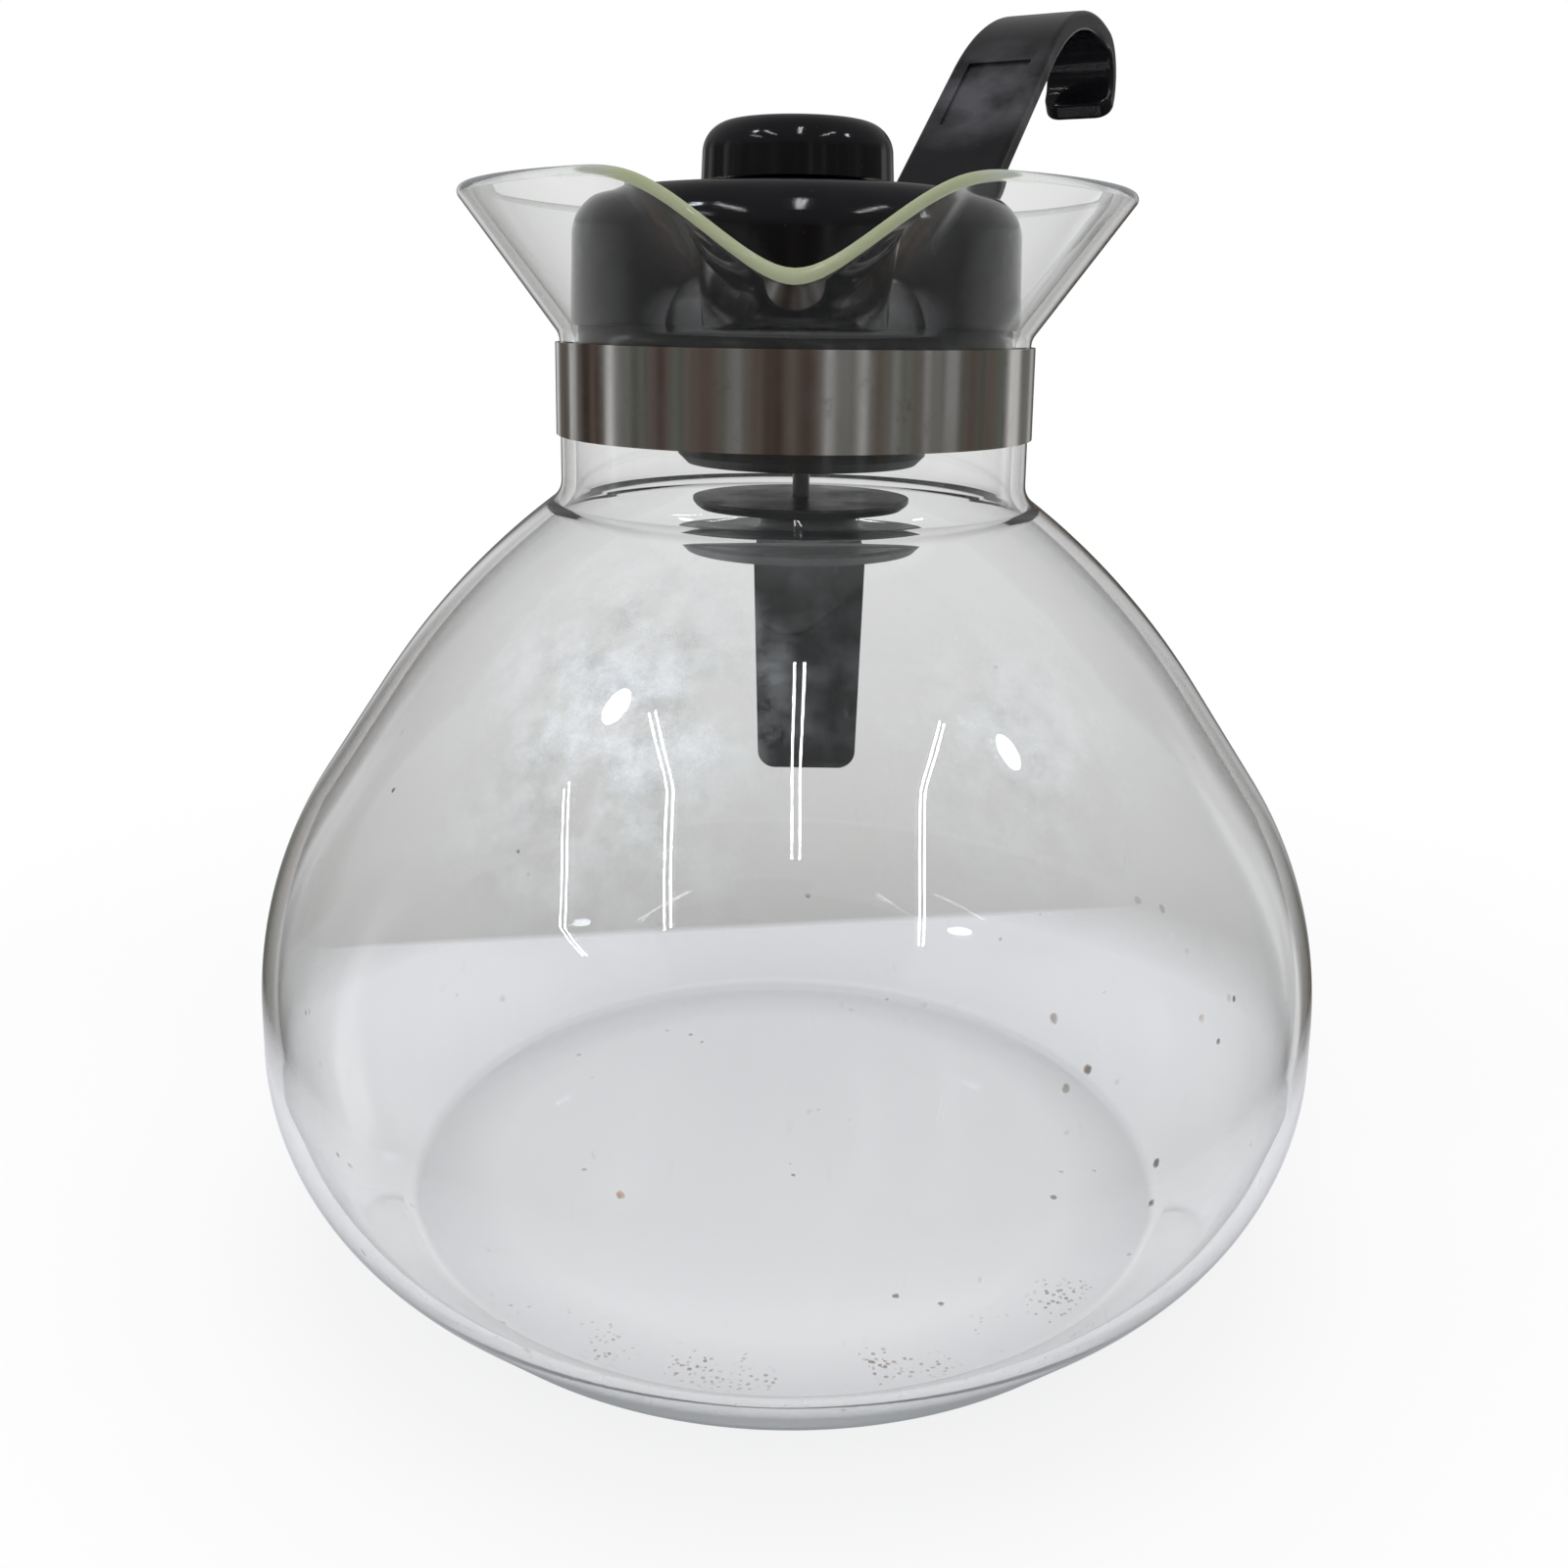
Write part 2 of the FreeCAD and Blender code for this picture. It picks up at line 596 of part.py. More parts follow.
for side in (1, -1):
    wedge = Outline(taper, crest_start[0], half_strap * side)
    wedge.reach(curl_reach, half_tip * side)
    wedge.step(NOTHING, half_strap * side)
    wedge.reach(crest_start[0], s.strap_width * side)
    wedge.close()
extrude(handle, "taper_cut", taper, THROUGH, cut=True, midplane=True)
round_edges(handle, "tip_corners", s.tip_rounding,
            lambda edge: tip_edge(edge, curl_start[0].value, s.strap_thickness.value))
round_edges(handle, "strap_edges", s.edge_rounding, side_edges(handle))
panel_start = s.strap_run - s.panel_length - s.panel_depth
panel_x = grip_start[0] + panel_start * cos(s.strap_pitch) + s.panel_depth * sin(s.strap_pitch)
panel_z = grip_start[1] + panel_start * sin(s.strap_pitch) - s.panel_depth * cos(s.strap_pitch)
panel = Outline(sketch_on(handle, "panel_side", "XZ_Plane"), panel_x, panel_z)
panel.forward(s.panel_length, s.strap_pitch)
panel.forward(s.strap_thickness, s.strap_pitch + QUARTER)
panel.forward(s.panel_length, s.strap_pitch + HALF_TURN)
extrude(handle, "panel", panel.close(), s.panel_width, cut=True, midplane=True)
middle_x = strap_x + s.strap_thickness / cos(s.flare_angle) / 2
foot_front = band_outside + s.seat_clearance
foot_bottom = s.band_bottom + s.seat_clearance
foot = Outline(sketch_on(handle, "foot_side", "XZ_Plane"), foot_front, foot_bottom)
foot.reach(ear_end, foot_bottom)
foot.reach(ear_end, strap_bottom + s.strap_gap)
foot.reach(middle_x + s.gusset_length * cos(rise), strap_bottom + s.gusset_length * sin(rise))
foot.reach(middle_x, strap_bottom + s.strap_gap)
foot.reach(foot_front, band_top)
extrude(handle, "foot", foot.close(), s.tongue_width, midplane=True)
foot_hole = sketch_on(handle, "foot_hole", "XZ_Plane")
add_circle(foot_hole, clamp_axis, band_middle, s.clamp_shank + s.pin_clearance)
extrude(handle, "foot_holes", foot_hole, THROUGH, cut=True, midplane=True)
turn_to_handle(handle)


def turned_screw(label, role, x, y, shank, length, head, head_height, way):
    """A round-headed screw or pin: its head stands on the point given, the way given."""
    screw = new_body(label)
    sketch = sketch_on(screw, label + "_profile", role, y, x)
    half_head = head_height / 2
    profile = Outline(sketch, NOTHING, length * -way)
    profile.step(shank, NOTHING)
    profile.step(NOTHING, length * way)
    profile.step(head - shank, NOTHING)
    profile.step(NOTHING, half_head * way)
    profile.step(-half_head, half_head * way, half_head, left=way > 0)
    profile.step(half_head - head, NOTHING)
    revolve(screw, label + "_turned", profile.close())
    return screw


# Clamp screw and nut: they draw the ears together on the handle's foot
grip_length = ear_outside * 2 + s.nut_height + s.screw_overrun
clamp_screw = turned_screw("clamp_screw", "XY_Plane", (clamp_axis, ear_outside), band_middle, s.clamp_shank,
                           grip_length, s.clamp_head, s.clamp_head_height, 1)
turn_to_handle(clamp_screw)
clamp_nut = new_body("clamp_nut")
hexagon = sketch_on(clamp_nut, "hexagon", "XZ_Plane", ear_outside)
half_flat = s.nut_flats / 2
half_side = s.nut_flats / root(as_size(12))
nut = Outline(hexagon, clamp_axis + half_flat, band_middle - half_side)
nut.step(NOTHING, half_side * 2)
nut.step(-half_flat, half_side)
nut.step(-half_flat, -half_side)
nut.step(NOTHING, half_side * -2)
nut.step(half_flat, -half_side)
nut.close()
add_circle(hexagon, clamp_axis, band_middle, s.clamp_shank + s.pin_clearance)
extrude(clamp_nut, "nut", hexagon, s.nut_height)
turn_to_handle(clamp_nut)


def dome_profile(sketch, radius, bottom, draft, side, rounding):
    """Half outline of a dome: leaning side, rounded shoulder and shallow top."""
    profile = Outline(sketch, NOTHING, bottom)
    profile.step(radius, NOTHING)
    profile.forward(side, QUARTER + draft)
    profile.bend_left(rounding, QUARTER + draft, HALF_TURN - s.dome_slope)
    dome_radius = profile.corners[-1][0] / sin(s.dome_slope)
    return profile.step(-profile.corners[-1][0], dome_radius * (ONE - cos(s.dome_slope)), dome_radius)


def domed_shell(label, radius, bottom, draft, side, rounding):
    """A moulded cover open below, with the height of its top."""
    shell = new_body(label)
    outer_sketch = sketch_on(shell, label + "_outside", "XZ_Plane")
    outside = dome_profile(outer_sketch, radius, bottom, draft, side, rounding)
    revolve(shell, label + "_turned", outside.close())
    inner_sketch = sketch_on(shell, label + "_inside", "XZ_Plane")
    inside = dome_profile(inner_sketch, radius - s.lid_wall / cos(draft), bottom, draft,
                          side - s.lid_wall * tan(draft), rounding - s.lid_wall)
    revolve(shell, label + "_hollow", inside.close(), cut=True)
    return shell, outside.corners[-1][1]


# Lid cap, with a hole for the knob's screw and a ring of steam holes under the knob
lid_cap, dome_top = domed_shell("lid_cap", cap_radius, cap_bottom, s.cap_draft,
                                s.cap_side, s.cap_rounding)
screw_hole = sketch_on(lid_cap, "screw_hole", "XY_Plane", cap_bottom)
add_circle(screw_hole, NOTHING, NOTHING, s.knob_shank + s.pin_clearance)
extrude(lid_cap, "screw_hole_cut", screw_hole, THROUGH, cut=True, reverse=True)
vent = sketch_on(lid_cap, "vent", "XY_Plane", cap_bottom)
add_circle(vent, s.vent_circle, NOTHING, s.vent_radius)
vent_cut = extrude(lid_cap, "vent_cut", vent, THROUGH, cut=True, reverse=True)
repeat_round(lid_cap, "vents", vent_cut, vent, s.vent_count)


# Knob, hollow below, with a boss for its screw
lid_knob, _ = domed_shell("lid_knob", s.knob_radius, dome_top + s.knob_gap, s.knob_draft,
                          s.knob_height - s.knob_rounding, s.knob_rounding)
boss = sketch_on(lid_knob, "boss", "XY_Plane", dome_top)
add_circle(boss, NOTHING, NOTHING, s.knob_boss)
extrude(lid_knob, "boss_pad", boss, s.knob_height - s.lid_wall / 2)
boss_hole = sketch_on(lid_knob, "boss_hole", "XY_Plane", dome_top)
add_circle(boss_hole, NOTHING, NOTHING, s.knob_shank + s.pin_clearance)
extrude(lid_knob, "boss_hole_cut", boss_hole, s.knob_screw_length - s.lid_wall + s.seat_clearance,
        cut=True, reverse=True)
screw_seat = dome_top - s.lid_wall - s.pin_clearance
knob_screw = turned_screw("knob_screw", "XZ_Plane", (NOTHING, screw_seat), None, s.knob_shank,
                          s.knob_screw_length, s.knob_head, s.knob_head_height, -1)


# Lid base: flange under the cap, spigot inside it, plug skirt in the neck, whistle hub below
lid_base = new_body("lid_base")
plug_radius = neck_bore - s.plug_clearance
spigot_radius = cap_radius - s.lid_wall - s.seat_clearance
plate = Outline(sketch_on(lid_base, "plate_section", "XZ_Plane"), s.steam_hole, cap_bottom)
plate.reach(spigot_radius - s.lid_wall, cap_bottom)
plate.step(NOTHING, s.spigot_height)
plate.step(s.lid_wall, NOTHING)
plate.step(NOTHING, -s.spigot_height)
plate.step(plug_radius - spigot_radius, NOTHING)
plate.step(NOTHING, -s.plug_depth)
plate.step(-s.lid_wall, NOTHING)
plate.step(NOTHING, s.plug_depth - s.lid_wall)
plate.reach(s.steam_hole, plate_underside)
revolve(lid_base, "plate", plate.close())
hub = sketch_on(lid_base, "hub_ring", "XY_Plane", s.hub_bottom, (s.hub_offset, NOTHING))
add_circle(hub, NOTHING, NOTHING, s.hub_radius)
add_circle(hub, NOTHING, NOTHING, s.hub_radius - s.lid_wall)
extrude(lid_base, "hub", hub, plate_underside - s.hub_bottom + s.lid_wall / 2)
bevel_edges(lid_base, "hub_edge", s.hub_bevel, lambda edge: lower_edge(edge, s.hub_radius, s.hub_bottom))
arm_sketch = sketch_on(lid_base, "arm", "XY_Plane", spider_bottom, (s.hub_offset, NOTHING))
arm = Outline(arm_sketch, NOTHING, -(s.spider_width / 2))
arm.step(s.hub_radius - s.lid_wall / 2, NOTHING)
arm.step(NOTHING, s.spider_width)
arm.step(s.lid_wall / 2 - s.hub_radius, NOTHING)
arm_pad = extrude(lid_base, "arm_pad", arm.close(), s.spider_height)
repeat_round(lid_base, "arms", arm_pad, arm_sketch, s.spider_count)
spider = sketch_on(lid_base, "spider_boss_circle", "XY_Plane", spider_bottom, (s.hub_offset, NOTHING))
add_circle(spider, NOTHING, NOTHING, s.spider_boss)
extrude(lid_base, "spider_boss_pad", spider, s.spider_height)
pin_hole = sketch_on(lid_base, "pin_hole", "XY_Plane", spider_bottom, (s.hub_offset, NOTHING))
add_circle(pin_hole, NOTHING, NOTHING, s.pin_radius + s.pin_clearance)
extrude(lid_base, "pin_hole_cut", pin_hole, s.spider_height * 2, cut=True, midplane=True)


# Whistle: a flat plate over a dished cup, a hole in the middle of each
whistle_plate = new_body("whistle_plate")
disc = Outline(sketch_on(whistle_plate, "plate_half", "XZ_Plane"), s.whistle_hole, plate_underside)
disc.step(NOTHING, -s.sheet)
disc.step(whistle_radius - s.whistle_hole, NOTHING)
disc.step(NOTHING, s.sheet)
revolve(whistle_plate, "plate_turned", disc.close())
place(whistle_plate, s.hub_offset, NOTHING, NOTHING)
whistle_cup = new_body("whistle_cup")
well_radius = whistle_radius - s.whistle_flange
cup = Outline(sketch_on(whistle_cup, "cup_half", "XZ_Plane"), whistle_radius, plate_underside - s.sheet)
cup.step(-s.whistle_flange, NOTHING)
cup.step(-s.whistle_slope, s.sheet - s.whistle_depth)
cup.step(s.whistle_hole + s.whistle_slope - well_radius, NOTHING)
cup.step(NOTHING, -s.sheet)
cup.step(well_radius - s.whistle_hole - s.whistle_slope + s.sheet, NOTHING)
cup.step(s.whistle_slope, s.whistle_depth - s.sheet)
cup.step(s.whistle_flange - s.sheet, NOTHING)
revolve(whistle_cup, "cup_turned", cup.close())
place(whistle_cup, s.hub_offset, NOTHING, NOTHING)


# Pin: hangs from the hub's spider and carries the stem
baffle_pin = turned_screw("baffle_pin", "XZ_Plane", (NOTHING, spider_top), None, s.pin_radius,
                          spider_top - s.splash_top + s.pin_depth, s.pin_head_radius, s.pin_head_height, 1)
place(baffle_pin, s.hub_offset, NOTHING, NOTHING)


# Stem: splash disc, column, lower disc and a ribbed blade, hung on the pin
baffle_stem = new_body("baffle_stem")


def stem_round(name, bottom, x, radius, height):
    circle = sketch_on(baffle_stem, name + "_circle", "XY_Plane", bottom)
    add_circle(circle, x, NOTHING, radius)
    return extrude(baffle_stem, name, circle, height)


def stem_disc(name, bottom, radius):
    """A disc of the stem, bevelled round its lower edge."""
    stem_round(name, bottom, NOTHING, radius, s.disc_thickness)
    bevel_edges(baffle_stem, name + "_edge", s.disc_bevel, lambda edge: lower_edge(edge, radius, bottom))


stem_disc("lower_disc", lower_disc_bottom, s.lower_disc_radius)
stem_round("column", lower_disc_bottom + s.disc_thickness, s.stem_offset, s.column_radius, s.column_height)
stem_disc("splash_disc", s.splash_top - s.disc_thickness, s.splash_radius)
blade = Outline(sketch_on(baffle_stem, "blade_front", "XZ_Plane"),
                s.stem_offset - s.stem_top_width / 2, lower_disc_bottom)
blade.reach(s.stem_offset - s.stem_tip_width / 2, lower_disc_bottom - s.stem_length)
blade.step(s.stem_tip_width, NOTHING)
blade.reach(s.stem_offset + s.stem_top_width / 2, lower_disc_bottom)
extrude(baffle_stem, "blade", blade.close(), s.stem_thickness, midplane=True)
stem_tip = lower_disc_bottom.value - s.stem_length.value
round_edges(baffle_stem, "blade_corners", s.stem_rounding,
            lambda edge: is_straight(edge) and abs(edge.CenterOfMass.z - stem_tip) < NEAR
            and abs(edge.tangentAt(edge.FirstParameter).y) > ALONG)
rib_length = s.stem_length - s.stem_rounding
rib = Outline(sketch_on(baffle_stem, "rib_front", "XZ_Plane"),
              s.stem_offset - s.rib_width / 2, lower_disc_bottom)
rib.step(NOTHING, -rib_length)
rib.step(s.rib_width, NOTHING)
rib.step(NOTHING, rib_length)
extrude(baffle_stem, "rib", rib.close(), s.rib_depth, midplane=True)
round_edges(baffle_stem, "column_roundings", s.column_fillet,
            lambda edge: is_circle(edge, s.column_radius.value))
stem_hole = sketch_on(baffle_stem, "stem_hole", "XY_Plane", s.splash_top)
add_circle(stem_hole, NOTHING, NOTHING, s.pin_radius + s.pin_clearance)
extrude(baffle_stem, "stem_hole_cut", stem_hole, s.pin_depth + s.seat_clearance, cut=True)
place(baffle_stem, s.hub_offset, NOTHING, NOTHING)


# Each piece is checked and written to its own file
PIECES = (glass_body, neck_band, handle, clamp_screw, clamp_nut, lid_cap, lid_base, lid_knob, knob_screw,
          whistle_plate, whistle_cup, baffle_pin, baffle_stem)
doc.recompute()
for item in doc.Objects:
    if "Invalid" in item.State or "Error" in item.State:
        raise RuntimeError(f"{item.Label} did not build: {item.State}")
os.makedirs("parts", exist_ok=True)
for piece in PIECES:
    shape = piece.Shape
    if shape.isNull() or not shape.isValid() or len(shape.Solids) != 1:
        raise RuntimeError(f"{piece.Label} is not one sound solid")
    shape.exportStep(f"parts/{piece.Label}.step")
    print(piece.Label, round(shape.Volume), [round(value, 1) for value in
          (shape.BoundBox.XMin, shape.BoundBox.XMax, shape.BoundBox.YMin, shape.BoundBox.YMax,
           shape.BoundBox.ZMin, shape.BoundBox.ZMax)])
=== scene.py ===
import math

import bpy
from mathutils import Matrix, Vector


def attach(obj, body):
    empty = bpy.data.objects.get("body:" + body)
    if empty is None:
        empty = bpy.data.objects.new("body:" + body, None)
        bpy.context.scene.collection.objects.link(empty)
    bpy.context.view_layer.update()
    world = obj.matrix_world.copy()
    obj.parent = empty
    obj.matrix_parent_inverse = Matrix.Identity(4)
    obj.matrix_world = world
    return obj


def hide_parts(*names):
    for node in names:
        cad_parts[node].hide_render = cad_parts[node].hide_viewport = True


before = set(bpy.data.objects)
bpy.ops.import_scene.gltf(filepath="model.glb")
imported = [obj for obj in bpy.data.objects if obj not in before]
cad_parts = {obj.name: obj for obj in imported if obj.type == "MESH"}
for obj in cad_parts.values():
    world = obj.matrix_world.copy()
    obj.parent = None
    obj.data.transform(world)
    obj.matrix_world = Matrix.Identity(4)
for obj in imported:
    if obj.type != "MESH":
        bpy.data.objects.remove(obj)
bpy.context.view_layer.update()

scene = bpy.context.scene

# Sizes are in millimetres, as in the part's source, and turn to metres when a mesh is made
MM = 0.001

# Glass: base, heel, bulb, neck, flare and pouring lip
BASE_ROUNDING = 8.0
HEEL_ANGLE = math.radians(46.6)
HEEL_LENGTH = 12.5
CORNER_RADIUS = 37.0
BELLY_RADIUS = 87.7
BELLY_RISE = 6.3
SHOULDER_RADIUS = 60.0
FLANK_ANGLE = math.radians(33.4)
FLANK_LENGTH = 18.8
CROWN_RADIUS = 120.0
NECK_FILLET = 4.0
NECK_RADIUS = 38.3
NECK_TOP = 147.0
WALL = 2.4
FLARE_BEND = 3.0
FLARE_ANGLE = math.radians(36.0)
FLARE_LENGTH = 24.9
LIP_THICKNESS = 2.0
SPOUT_ANGLE = math.radians(78.4)
SPOUT_HALF_SPAN = math.radians(32.0)
SPOUT_SOFTNESS = 0.14

# Mesh steps of the glass
GLASS_SEGMENTS = 360
BASE_STEPS = 12
SMALL_ARC_STEPS = 12
LARGE_ARC_STEPS = 24
HEEL_STEPS = 5
NECK_STEPS = 6
BEND_STEPS = 10
WALL_STEPS = 14
RIM_STEPS = 12

# Ring of painted shade inside the base: outer radius, width and sharp outer border
RING_RADIUS = 66.0
RING_WIDTH = 15.0
RING_BORDER = 1.2

# Arc of fine dirt at the front of the base: inner and outer radius, soft border
GRIT_INNER = 54.0
GRIT_OUTER = 64.0
GRIT_BORDER = 3.0

# Glass bends light as a thinner wall would, and mirrors it as glass does, from both faces of the wall
THIN_WALL_IOR = 1.14
GLASS_IOR = 1.47
TWO_FACES = 1.5

# How far the outline of a speck strays, in metres
SPECK_STRAY = 0.0006

# Cloudy patches on the glass: place in metres, reach in metres, strength
CLOUDS = (
    ((-0.0207, -0.0560, 0.1023), 0.016, 0.9),
    ((-0.0245, -0.0621, 0.0928), 0.017, 0.8),
    ((-0.0279, -0.0462, 0.1087), 0.014, 0.5),
    ((0.0306, -0.0561, 0.0969), 0.014, 0.9),
)


def arc(centre_r, centre_z, radius, start, end, steps):
    """Points along an arc, both ends included."""
    points = []
    for step in range(steps + 1):
        angle = start + (end - start) * step / steps
        points.append((centre_r + radius * math.cos(angle), centre_z + radius * math.sin(angle)))
    return points


def line(start, end, steps):
    """Points along a straight stretch, both ends left out."""
    points = []
    for step in range(1, steps):
        share = step / steps
        points.append((start[0] + (end[0] - start[0]) * share, start[1] + (end[1] - start[1]) * share))
    return points


def bulb_wall(inset):
    """Base, bulb and neck from the axis up, as (radius, height) points, offset inwards by the inset."""
    sin_heel = math.sin(HEEL_ANGLE)
    cos_heel = math.cos(HEEL_ANGLE)
    corner_r = BELLY_RADIUS - CORNER_RADIUS
    heel_reach = BASE_ROUNDING * sin_heel + HEEL_LENGTH * cos_heel
    base_r = corner_r + CORNER_RADIUS * sin_heel - heel_reach
    corner_z = BASE_ROUNDING * (1 - cos_heel) + HEEL_LENGTH * sin_heel + CORNER_RADIUS * cos_heel
    belly_top = corner_z + BELLY_RISE
    shoulder_r = BELLY_RADIUS - SHOULDER_RADIUS
    flank_r = shoulder_r + SHOULDER_RADIUS * math.cos(FLANK_ANGLE) - FLANK_LENGTH * math.sin(FLANK_ANGLE)
    flank_z = belly_top + SHOULDER_RADIUS * math.sin(FLANK_ANGLE) + FLANK_LENGTH * math.cos(FLANK_ANGLE)
    crown_r = flank_r - CROWN_RADIUS * math.cos(FLANK_ANGLE)
    crown_z = flank_z - CROWN_RADIUS * math.sin(FLANK_ANGLE)
    neck_r = NECK_RADIUS + NECK_FILLET
    crown_end = math.acos((neck_r - crown_r) / (CROWN_RADIUS + NECK_FILLET))
    neck_z = crown_z + (CROWN_RADIUS + NECK_FILLET) * math.sin(crown_end)
    down = -math.pi / 2
    foot = arc(base_r, BASE_ROUNDING, BASE_ROUNDING - inset, down, down + HEEL_ANGLE, SMALL_ARC_STEPS)
    corner = arc(corner_r, corner_z, CORNER_RADIUS - inset, down + HEEL_ANGLE, 0, LARGE_ARC_STEPS)
    points = [(0.0, inset)] + line((0.0, inset), foot[0], BASE_STEPS) + foot
    points += line(foot[-1], corner[0], HEEL_STEPS) + corner
    points += arc(shoulder_r, belly_top, SHOULDER_RADIUS - inset, 0, FLANK_ANGLE, LARGE_ARC_STEPS)
    points += arc(crown_r, crown_z, CROWN_RADIUS - inset, FLANK_ANGLE, crown_end, LARGE_ARC_STEPS)
    points += arc(neck_r, neck_z, NECK_FILLET + inset, math.pi + crown_end, math.pi, SMALL_ARC_STEPS)
    return points + line(points[-1], (NECK_RADIUS - inset, NECK_TOP), NECK_STEPS)


def flare_wall(lean):
    """Flare from the neck's outside, round the rim and back to the neck's inside, at a lean from upright."""
    bend_r = NECK_RADIUS + FLARE_BEND
    along = (math.sin(lean), math.cos(lean))
    outer = arc(bend_r, NECK_TOP, FLARE_BEND, math.pi, math.pi - lean, BEND_STEPS)
    inner = arc(bend_r, NECK_TOP, FLARE_BEND + WALL, math.pi - lean, math.pi, BEND_STEPS)
    half_lip = LIP_THICKNESS / 2
    lip_r = outer[-1][0] + FLARE_LENGTH * along[0] - half_lip * along[1]
    lip_z = outer[-1][1] + FLARE_LENGTH * along[1] + half_lip * along[0]
    rim = arc(lip_r, lip_z, half_lip, -lean, math.pi - lean, RIM_STEPS)
    return outer + line(outer[-1], rim[0], WALL_STEPS) + rim + line(rim[-1], inner[0], WALL_STEPS) + inner


def spout_lean(turn):
    """Lean of the flare at a turn from the middle of the pouring lip."""
    if abs(turn) >= SPOUT_HALF_SPAN:
        return FLARE_ANGLE
    share = math.hypot(turn / SPOUT_HALF_SPAN, SPOUT_SOFTNESS) - SPOUT_SOFTNESS
    share /= math.hypot(1, SPOUT_SOFTNESS) - SPOUT_SOFTNESS
    press = 1 - math.sin(math.pi / 2 * share)
    return FLARE_ANGLE + (SPOUT_ANGLE - FLARE_ANGLE) * press


def new_object(name, mesh, material):
    mesh.materials.append(material)
    for polygon in mesh.polygons:
        polygon.use_smooth = True
    piece = bpy.data.objects.new(name, mesh)
    scene.collection.objects.link(piece)
    return piece


def closed_lathe(name, profiles, material):
    """A mesh through one profile per segment, every profile from the axis back to the axis."""
    mesh = bpy.data.meshes.new(name)
    verts = []
    faces = []
    segments = len(profiles)
    count = len(profiles[0]) - 2
    for segment, profile in enumerate(profiles):
        turn = 2 * math.pi * segment / segments
        for radius, height in profile[1:-1]:
            verts.append((radius * math.sin(turn) * MM, -radius * math.cos(turn) * MM, height * MM))
    first = len(verts)
    verts.append((0, 0, profiles[0][0][1] * MM))
    verts.append((0, 0, profiles[0][-1][1] * MM))
    for segment in range(segments):
        here = segment * count
        there = (segment + 1) % segments * count
        faces.append((first, there, here))
        for step in range(count - 1):
            faces.append((here + step, there + step, there + step + 1, here + step + 1))
        faces.append((here + count - 1, there + count - 1, first + 1))
    mesh.from_pydata(verts, [], faces)
    return new_object(name, mesh, material)


class Nodes:
    """A node tree, with short ways to add and join nodes."""

    def __init__(self, owner, output):
        owner.use_nodes = True
        self.owner = owner
        self.tree = owner.node_tree
        self.tree.nodes.clear()
        self.output = self.add(output)

    def join(self, value, socket):
        if isinstance(value, bpy.types.NodeSocket):
            self.tree.links.new(value, socket)
        else:
            socket.default_value = value

    def add(self, kind, inputs=None, **settings):
        node = self.tree.nodes.new(kind)
        for key, value in settings.items():
            setattr(node, key, value)
        for key, value in (inputs or {}).items():
            self.join(value, node.inputs[key])
        return node

    def noise(self, vector, scale, detail=4.0, roughness=0.5):
        inputs = {"Vector": vector, "Scale": scale, "Detail": detail, "Roughness": roughness}
        return self.add("ShaderNodeTexNoise", inputs).outputs["Fac"]

    def stretch(self, vector, scale):
        return self.add("ShaderNodeMapping", {"Vector": vector, "Scale": scale}).outputs["Vector"]

    def ramp(self, value, low, high, start=0.0, end=1.0):
        inputs = {"Value": value, "From Min": low, "From Max": high, "To Min": start, "To Max": end}
        return self.add("ShaderNodeMapRange", inputs).outputs["Result"]

    def colours(self, value, stops):
        """A colour for each share, from a list of (share, colour)."""
        node = self.add("ShaderNodeValToRGB", {"Fac": value})
        elements = node.color_ramp.elements
        while len(elements) < len(stops):
            elements.new(1.0)
        for element, (share, tone) in zip(elements, stops):
            element.position = share
            element.color = tone
        return node.outputs["Color"]

    def mix_colour(self, share, first, second):
        node = self.add("ShaderNodeMix", data_type="RGBA")
        for index, value in ((0, share), (6, first), (7, second)):
            self.join(value, node.inputs[index])
        return node.outputs[2]

    def mix_shader(self, share, first, second):
        return self.add("ShaderNodeMixShader", {0: share, 1: first, 2: second}).outputs[0]

    def maths(self, operation, first, second):
        return self.add("ShaderNodeMath", {0: first, 1: second}, operation=operation).outputs[0]

    def product(self, *values):
        result = values[0]
        for value in values[1:]:
            result = self.maths("MULTIPLY", result, value)
        return result

    def cells(self, vector, scale):
        return self.add("ShaderNodeTexVoronoi", {"Vector": vector, "Scale": scale}).outputs["Distance"]

    def bump(self, height, strength, distance):
        inputs = {"Height": height, "Strength": strength, "Distance": distance}
        return self.add("ShaderNodeBump", inputs).outputs["Normal"]

    def place(self):
        return self.add("ShaderNodeTexCoord").outputs["Object"]

    def axes(self, vector):
        return self.add("ShaderNodeSeparateXYZ", {"Vector": vector}).outputs

    def distance(self, vector, point):
        return self.add("ShaderNodeVectorMath", {0: vector, 1: point}, operation="DISTANCE").outputs["Value"]

    def light_path(self):
        return self.add("ShaderNodeLightPath").outputs

    def finish(self, shader):
        self.tree.links.new(shader, self.output.inputs["Surface"])
        return self.owner


def material_nodes(name):
    return Nodes(bpy.data.materials.new(name), "ShaderNodeOutputMaterial")


def colour(red, green, blue):
    return (red, green, blue, 1.0)


def axis_distance(n, where):
    """Distance from the kettle's upright axis."""
    level = n.add("ShaderNodeVectorMath", {0: where, 1: (1.0, 1.0, 0.0)}, operation="MULTIPLY")
    return n.distance(level.outputs["Vector"], (0.0, 0.0, 0.0))


